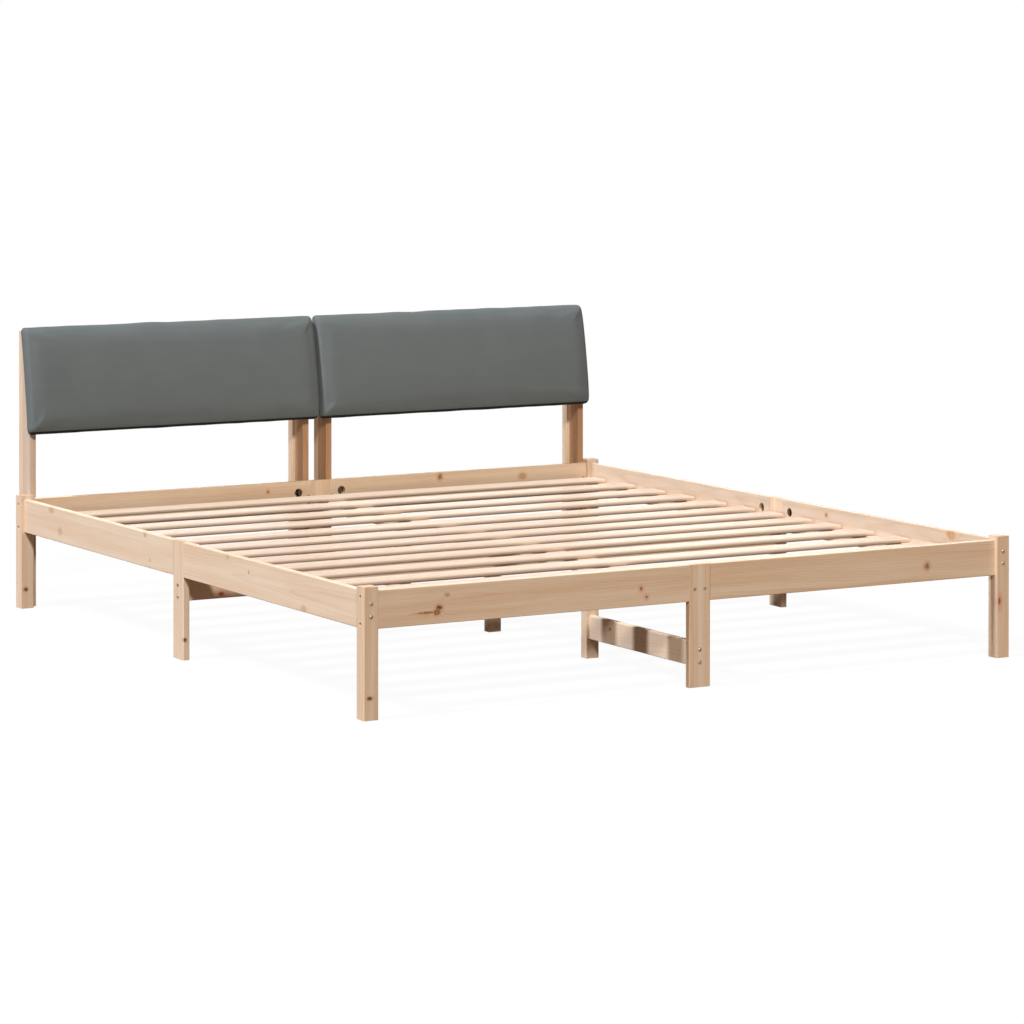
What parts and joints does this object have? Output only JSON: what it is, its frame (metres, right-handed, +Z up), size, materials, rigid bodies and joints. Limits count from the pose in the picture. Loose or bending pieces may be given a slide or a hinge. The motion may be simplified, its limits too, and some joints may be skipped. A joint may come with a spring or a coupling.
{
  "type": "bed frame",
  "caption": "Double bed frame in solid pine with slats, centre beam on posts and a two-part padded headboard on leaning posts.",
  "frame": {"origin": "on the floor, under the middle of the whole bed with its headboard, from the bolt heads at the foot to the backs of the uprights", "axes": "+Z up, +Y from the foot end to the headboard, +X to the right when looking from the foot end at the headboard"},
  "size_m": [1.856, 2.126, 0.7701],
  "materials": {
    "pine": "planed and clear, matt",
    "panel": "board wrapped in the cushion's grey cloth",
    "upholstery": "plain woven grey",
    "steel": "zinc plated"
  },
  "bodies": {
    "root": {"leg_foot_left": "pine", "leg_foot_right": "pine", "leg_head_left": "pine", "leg_head_right": "pine", "mid_leg_left": "pine", "mid_leg_right": "pine", "centre_leg_foot": "pine", "centre_leg_head": "pine", "rail_foot_left": "pine", "rail_foot_right": "pine", "rail_head_left": "pine", "rail_head_right": "pine", "rail_left_foot": "pine", "rail_left_head": "pine", "rail_right_foot": "pine", "rail_right_head": "pine", "ledger_left_foot": "pine", "ledger_left_head": "pine", "ledger_right_foot": "pine", "ledger_right_head": "pine", "beam_foot": "pine", "beam_head": "pine", "post_foot": "pine", "post_middle": "pine", "post_head": "pine", "crossbeam_left": "pine", "crossbeam_right": "pine", "brace_foot": "pine", "brace_head": "pine", "slat_01": "pine", "slat_02": "pine", "slat_03": "pine", "slat_04": "pine", "slat_05": "pine", "slat_06": "pine", "slat_07": "pine", "slat_08": "pine", "slat_09": "pine", "slat_10": "pine", "slat_11": "pine", "slat_12": "pine", "slat_13": "pine", "board_left_outer": "pine", "upright_left_outer": "pine", "board_left_inner": "pine", "upright_left_inner": "pine", "board_right_outer": "pine", "upright_right_outer": "pine", "board_right_inner": "pine", "upright_right_inner": "pine", "back_panel_left": "panel", "back_panel_right": "panel", "cushion_left": "upholstery", "cushion_right": "upholstery", "corner_bolts": "steel", "leg_bolts": "steel", "headboard_bolts": "steel", "wood_screws": "steel", "rail_studs": "steel", "barrel_nuts": "steel"}
  },
  "joints": []
}
